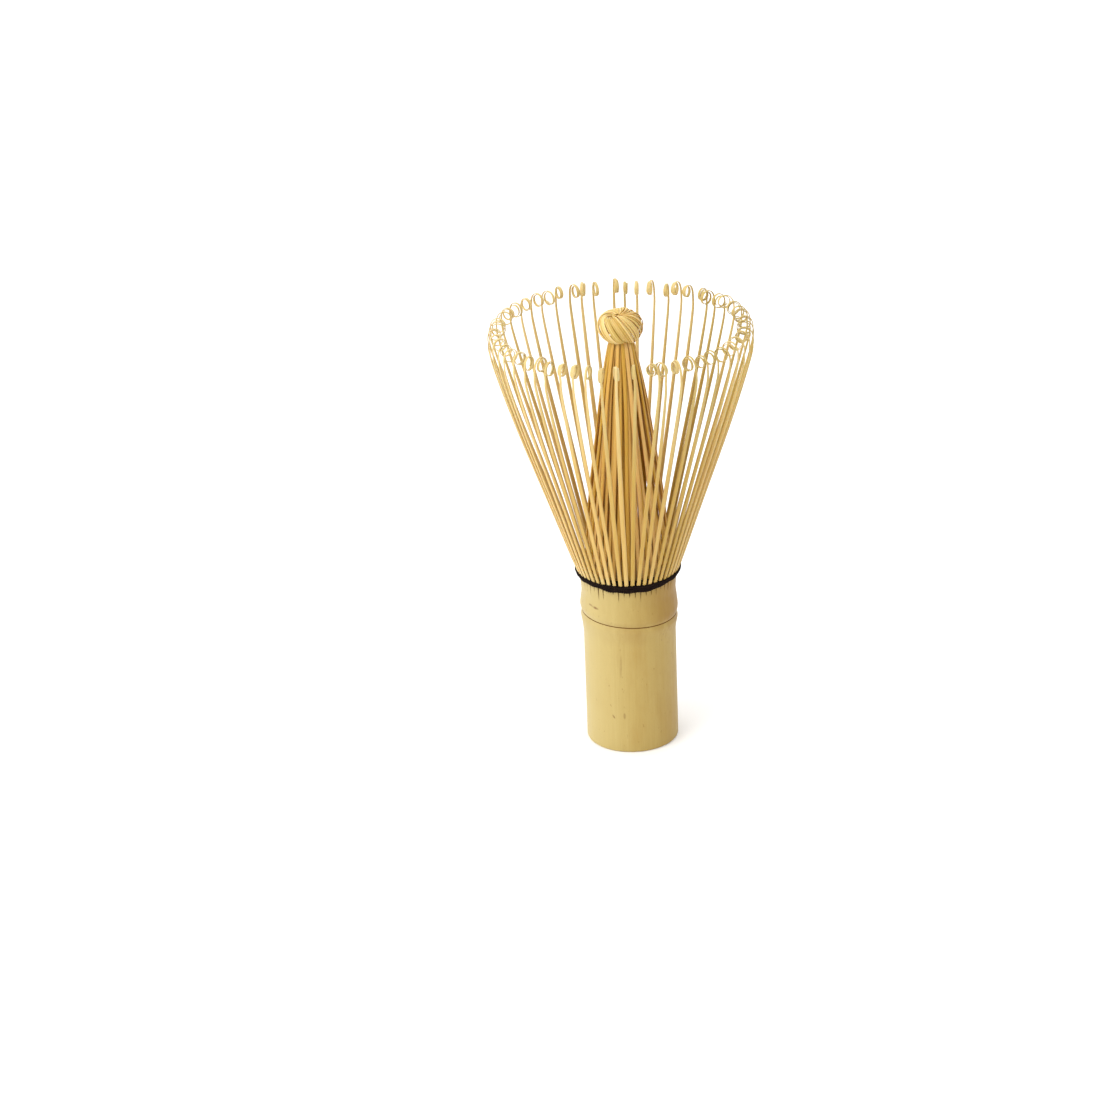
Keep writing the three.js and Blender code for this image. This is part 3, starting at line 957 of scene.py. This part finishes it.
def add_outer_tine(draft, index, rng):
    """One outer tine: a shaft out from under the thread, with a curl at its tip."""
    steps = 34
    base_angle = FIRST_TINE_ANGLE + index * TINE_PITCH
    lean = tine_lean(index)
    bow = rng.uniform(-0.3, 0.3)
    lift = rng.uniform(-0.4, 0.25)
    spread = rng.uniform(-0.3, 0.15)
    size = rng.uniform(0.92, 1.15)
    yaw = curl_yaw(index, rng)
    sidestep = rng.uniform(-1.2, 1.2)
    width_scale = rng.uniform(0.88, 1.06)
    length = CURL_LENGTH * size * rng.uniform(0.88, 1.3)
    # Painted light: tines on the lit left side get a lighter shade and a paler foot, and tines on the shaded
    # right side a darker shade.
    painted_light_share = (1 - math.cos(base_angle)) / 2
    shaft = OUTER_SHAFT[:-1] + [(OUTER_SHAFT[-1][0], CROWN_TOP - CURL_RISE * size)]

    stations = []
    for step in range(steps + 1):
        t = step / steps
        radius, height = spline(shaft, t)
        rise = min(1.0, max(0.0, (height - UPPER_ROUND_HEIGHT) / (LEAN_TOP - UPPER_ROUND_HEIGHT)))
        angle = base_angle + lean * rise + bow * math.sin(math.pi * rise) / radius
        foot = 1 - smooth(height, UPPER_ROUND_HEIGHT, UPPER_ROUND_HEIGHT + FOOT_LENGTH)
        shaved = smooth(height, *SHAVED)
        stations.append(Station(
            centre=polar(radius + spread * rise ** 2, angle, height + lift * rise),
            facing=outward_facing(slope_of(shaft, t), angle),
            width=spline(OUTER_WIDTHS, t) * width_scale,
            thickness=spline(OUTER_THICKNESSES, t),
            paleness=FOOT_PALENESS * foot * painted_light_share + SHAFT_PALENESS * shaved,
        ))
    slope = slope_of(shaft, 1.0)
    heading = -math.atan2(slope.x, slope.y)
    tip = stations[-1].centre
    stations += curl_stations(tip, heading, base_angle + lean, size, length, yaw, sidestep, width_scale)
    # Painted light: the lit left side raises the shade.
    shade = 0.6 * rng.random() + 0.4 * painted_light_share
    add_strip(draft, stations, TINE_SECTION, index + 1, shade)


def strand_stations(base_angle, start_turn, end_turn, twist, reach, layer, sink, width):
    """The strand a tine ends in: up the knob's middle, folded over its top and down outside it.

    Its turn from its even place eases to end_turn before the fold, and then it twists. It covers
    the share reach of its path, and sink is how deep it lies under its neighbours.
    """
    steps = 50
    path = [INNER_SHAFT[-1], *KNOB_PATH]
    stations = []
    for step in range(steps + 1):
        t = step / steps * reach
        radius, height = spline(path, t)
        slope = slope_of(path, t)
        folded = smooth(t, FOLD_START, FOLD_END)
        # Past the fold the face that looks out of the knob is the left of the strand's way.
        out_r, out_z = -slope.y, slope.x
        under = layer * KNOB_LAYER_STEP * (1 - smooth(t, 0.42, 0.62)) + sink
        radius -= layer * LAYER_STEP * (1 - smooth(t, *NECK))
        radius = max(0.4, radius - out_r * under * folded)
        height -= out_z * under * folded
        turn = max(0.0, t - FOLD_START) / (1 - FOLD_START)
        angle = base_angle + mix(start_turn, end_turn, smooth(t, 0.0, FOLD_START)) + twist * turn
        slump = folded * max(0.0, -math.cos(angle))
        radius += KNOB_SLUMP * slump * smooth(height, KNOB_TOP - 6.5, KNOB_TOP - 3.5)
        height -= KNOB_SLUMP * slump * smooth(height, KNOB_TOP - 3, KNOB_TOP)
        shift = (1 - min(1.0, radius / KNOB_RADIUS)) * smooth(height, KNOB_TOP - 4, KNOB_TOP - 1)
        if t < FOLD_START:
            facing = outward_facing(slope, angle)
        else:
            facing = Vector((out_r * math.cos(angle), out_r * math.sin(angle), out_z))
            around = Vector((-math.sin(angle), math.cos(angle), 0))
            facing = facing * math.cos(SHINGLE) + around * math.sin(SHINGLE)
        width_share = mix(1.0, NECK_WIDTH, smooth(t, *NECK)) + KNOB_WIDTH * smooth(t, *KNOB_WIDENS)
        stations.append(Station(
            centre=polar(radius, angle, height) + DIMPLE_SHIFT * (shift * MM),
            facing=facing.normalized(),
            width=width * width_share,
            thickness=mix(SHAFT_END_THICKNESS, STRAND_THICKNESS, folded),
            paleness=folded,
        ))
    return stations


def add_inner_tine(draft, index, rng):
    """One inner tine: a shaft up the bundle and the strand it folds into at the knob."""
    steps = 28
    layer = index % INNER_LAYERS
    base_angle = FIRST_TINE_ANGLE + (index + 0.5) * TINE_PITCH
    drift = math.radians(rng.uniform(-7, 7))
    wobble = math.radians(rng.uniform(-2.5, 2.5))
    phase = rng.uniform(0, 2 * math.pi)
    width = rng.uniform(0.82, 1.04)
    sag = rng.uniform(-0.2, 0.12)
    sink = rng.uniform(-0.12, 0.18) + (0.3 if rng.random() < 0.1 else 0.0)
    jitter = math.radians(rng.uniform(-1.1, 1.1))
    reach = rng.uniform(0.92, 1.0) - 0.05 * max(0.0, math.cos(base_angle + KNOB_TWIST - math.pi))
    twist = KNOB_TWIST * rng.uniform(0.99, 1.01)
    stations = []
    for step in range(steps):
        t = step / steps
        radius, height = spline(INNER_SHAFT, t)
        slack = smooth(height, *SAG_GROWS) * (1 - smooth(height, *SAG_FADES))
        radius += sag * slack - layer * LAYER_STEP * smooth(height, *LAYERS_PART)
        rise = smooth(height, *DRIFT_GROWS)
        angle = base_angle + drift * rise + wobble * math.sin(phase + 5 * rise) * rise
        stations.append(Station(
            centre=polar(radius, angle, height),
            facing=outward_facing(slope_of(INNER_SHAFT, t), angle),
            width=width * mix(0.9, 1.0, smooth(height, 43, 55)),
            thickness=mix(SHAFT_THICKNESS, SHAFT_END_THICKNESS, t),
            paleness=0.0,
        ))
    start_turn = drift + wobble * math.sin(phase + 5)
    stations += strand_stations(base_angle, start_turn, jitter, twist, reach, layer, sink, width)
    add_strip(draft, stations, STRAND_SECTION, index + 101, rng.random())


def build_tines(name, node_name, add_tine, prongs_per_piece, material, rng):
    """Every tine of one row, gathered into pieces of a few prongs each."""
    for first in range(0, PRONGS, prongs_per_piece):
        draft = Draft()
        prongs = range(first, first + prongs_per_piece)
        for prong in prongs:
            for tine in range(TINES_PER_PRONG):
                add_tine(draft, prong * TINES_PER_PRONG + tine, rng)
        nodes = [f"{node_name}_{prong + 1:02d}" for prong in prongs]
        draft.build(f"{name}_{first // prongs_per_piece + 1:02d}", [material], nodes)


# ======== the thread


def add_yarn(draft, route, plies, yarn_radius, twist_length, strip_id):
    """A closed plied thread along route(share), share from 0 to 1."""
    steps = YARN_STEPS
    ply_radius = yarn_radius * PLY_SHARE
    orbit = yarn_radius - ply_radius
    centres = [route(i / steps) for i in range(steps)]
    total = sum((centres[(i + 1) % steps] - centres[i]).length for i in range(steps)) / MM
    turns = round(total / twist_length)
    for ply in range(plies):
        rings = []
        for i, centre in enumerate(centres):
            tangent = (centres[(i + 1) % steps] - centres[i - 1]).normalized()
            side = tangent.cross(Vector((0, 0, 1))).normalized()
            up = side.cross(tangent)
            angle = 2 * math.pi * (turns * i / steps + ply / plies)
            middle = centre + (side * math.cos(angle) + up * math.sin(angle)) * (orbit * MM)
            points = []
            grain = []
            for k in range(YARN_SIDES):
                around = 2 * math.pi * k / YARN_SIDES
                radial = side * math.cos(around) + up * math.sin(around)
                points.append(middle + radial * (ply_radius * MM))
                grain.append((ply_radius * math.cos(around) + 3 * ply + strip_id * 9,
                              ply_radius * math.sin(around), total * i / steps))
            rings.append(draft.ring(points, grain, [0.5] * YARN_SIDES))
        for i in range(steps):
            draft.bridge(rings[i], rings[(i + 1) % steps])


def round_route(radius, height, ripple, waves, phase, sag=0.0):
    """A round that ripples a little, and sags by sag mm where the front rounds are pulled down."""
    def route(share):
        angle = 2 * math.pi * share
        from_front = math.degrees(math.remainder(angle - FRONT_ANGLE, 2 * math.pi))
        dip = sag * (1 - smooth(abs(from_front - 3), 22, 44))
        lift = ripple * math.sin(waves * angle + phase) - dip
        return polar(radius + 0.4 * ripple * math.cos(5 * angle + phase), angle, height + lift)
    return route


def weave_route(lift):
    """A round that goes outside each tine and rises between the rows in each gap, by lift mm."""
    def route(share):
        angle = 2 * math.pi * share
        wave = math.cos(TINES * (angle - FIRST_TINE_ANGLE))
        radius = UPPER_ROUND_RADIUS - WEAVE_REACH + WEAVE_REACH * wave
        height = UPPER_ROUND_HEIGHT + lift * (0.5 - 0.5 * wave)
        return polar(radius, angle, height)
    return route


def build_thread(material):
    """Three rounds outside the tines, two rounds woven between them, the inner round and the knot."""
    draft = Draft()
    middle_radius = mix(LOWER_ROUND_RADIUS, UPPER_ROUND_RADIUS, 0.55)
    middle_height = mix(LOWER_ROUND_HEIGHT, TOP_ROUND_HEIGHT, 0.45)
    rounds = [
        round_route(LOWER_ROUND_RADIUS, LOWER_ROUND_HEIGHT, 0.09, 17, 0.4, sag=0.42),
        round_route(middle_radius, middle_height, 0.08, 23, 2.6, sag=0.15),
        round_route(UPPER_ROUND_RADIUS, TOP_ROUND_HEIGHT, 0.08, 13, 1.9),
    ]
    for number, route in enumerate(rounds):
        add_yarn(draft, route, 3, YARN_RADIUS, YARN_TWIST, number)
    draft.build("thread_outer_rounds", [material], ["thread_round_lower", "thread_round_upper"])

    draft = Draft()
    for number, lift in enumerate(WEAVE_LIFTS):
        add_yarn(draft, weave_route(lift), 2, WEAVE_YARN_RADIUS, WEAVE_YARN_TWIST, number + 3)
    inner_round = round_route(INNER_ROUND_RADIUS, INNER_ROUND_HEIGHT, 0.04, 11, 0.0)
    add_yarn(draft, inner_round, 3, INNER_YARN_RADIUS, INNER_YARN_TWIST, 5)
    draft.build("thread_weave", [material], ["thread_round_inner"])

    draft = Draft()
    angle = math.atan2(KNOT_MIDDLE.y, KNOT_MIDDLE.x)
    around = Vector((-math.sin(angle), math.cos(angle), 0))
    out = Vector((math.cos(angle), math.sin(angle), 0))

    def knot_route(share):
        """A trefoil, squeezed to the knot's size."""
        t = 2 * math.pi * share
        x = math.sin(t) + 2 * math.sin(2 * t)
        y = math.cos(t) - 2 * math.cos(2 * t)
        z = -math.sin(3 * t)
        return (KNOT_MIDDLE + around * (0.2 * x) + Vector((0, 0, 0.11 * y)) + out * (0.16 * z)) * MM

    add_yarn(draft, knot_route, 2, KNOT_YARN_RADIUS, KNOT_YARN_TWIST, 6)
    draft.build("thread_knot_tied", [material], ["thread_knot"])


# ======== the whisk

make_camera()
make_stage()

skin = skin_material()
end_grain = end_grain_material()
groove = groove_material()
septum_bamboo = bamboo_material(
    "bamboo_septum", (208, 180, 124), (186, 152, 96), (150, 112, 62), (208, 180, 124),
    roughness=0.8, fibre_scale=1.6, relief=0.5, gloss=0.2,
)
outer_bamboo = bamboo_material(
    "bamboo_outer_tines", (212, 179, 106), (201, 166, 92), (179, 140, 68), (209, 192, 136),
    roughness=0.45, fibre_scale=9.0, relief=0.3, flesh=(190, 159, 98), tip_rim=0.1,
)
inner_bamboo = bamboo_material(
    "bamboo_inner_tines", (216, 178, 100), (206, 164, 84), (176, 128, 54), (222, 194, 126),
    roughness=0.48, fibre_scale=9.0, relief=0.3, flesh=(188, 138, 66), tip_rim=0.9,
)

culm_materials = [skin, end_grain, groove]
build_handle(culm_materials)
build_collar(culm_materials, random.Random(11))
build_septum(septum_bamboo)
build_tines("outer_tine_group", "outer_tines", add_outer_tine, 2, outer_bamboo,
            random.Random(3))
build_tines("inner_tine_group", "inner_tines", add_inner_tine, 3, inner_bamboo,
            random.Random(6))
build_thread(thread_material())
